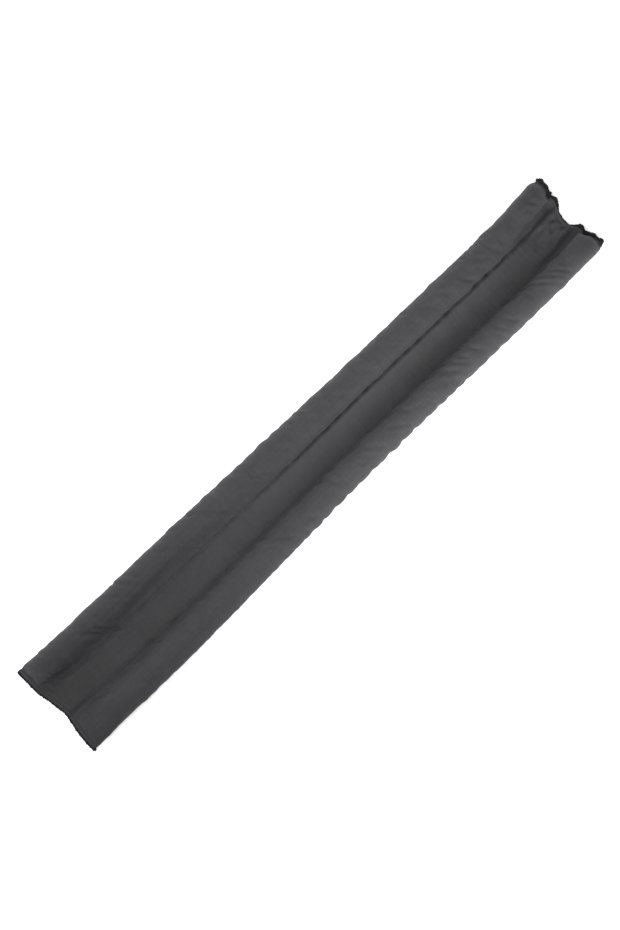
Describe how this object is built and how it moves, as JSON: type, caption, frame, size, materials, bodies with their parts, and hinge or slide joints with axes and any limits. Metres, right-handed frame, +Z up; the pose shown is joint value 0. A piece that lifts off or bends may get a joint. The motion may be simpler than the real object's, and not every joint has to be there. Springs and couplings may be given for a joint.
{
  "type": "draught excluder",
  "caption": "Long charcoal cloth sleeve with a stuffed tube on each side and a flat web between them that lies under a door.",
  "frame": {"origin": "middle of the footprint, on the surface it lies on", "axes": "+X along the sleeve, towards the end with the thicker black edge; +Y across it to the left; +Z up"},
  "size_m": [0.8699, 0.131, 0.036],
  "materials": {
    "charcoal_cloth": "matt woven polyester",
    "black_thread": "overlock thread"
  },
  "bodies": {
    "root": {"cover": "charcoal_cloth", "edge_thread_near": "black_thread", "edge_thread_far": "black_thread"}
  },
  "joints": []
}
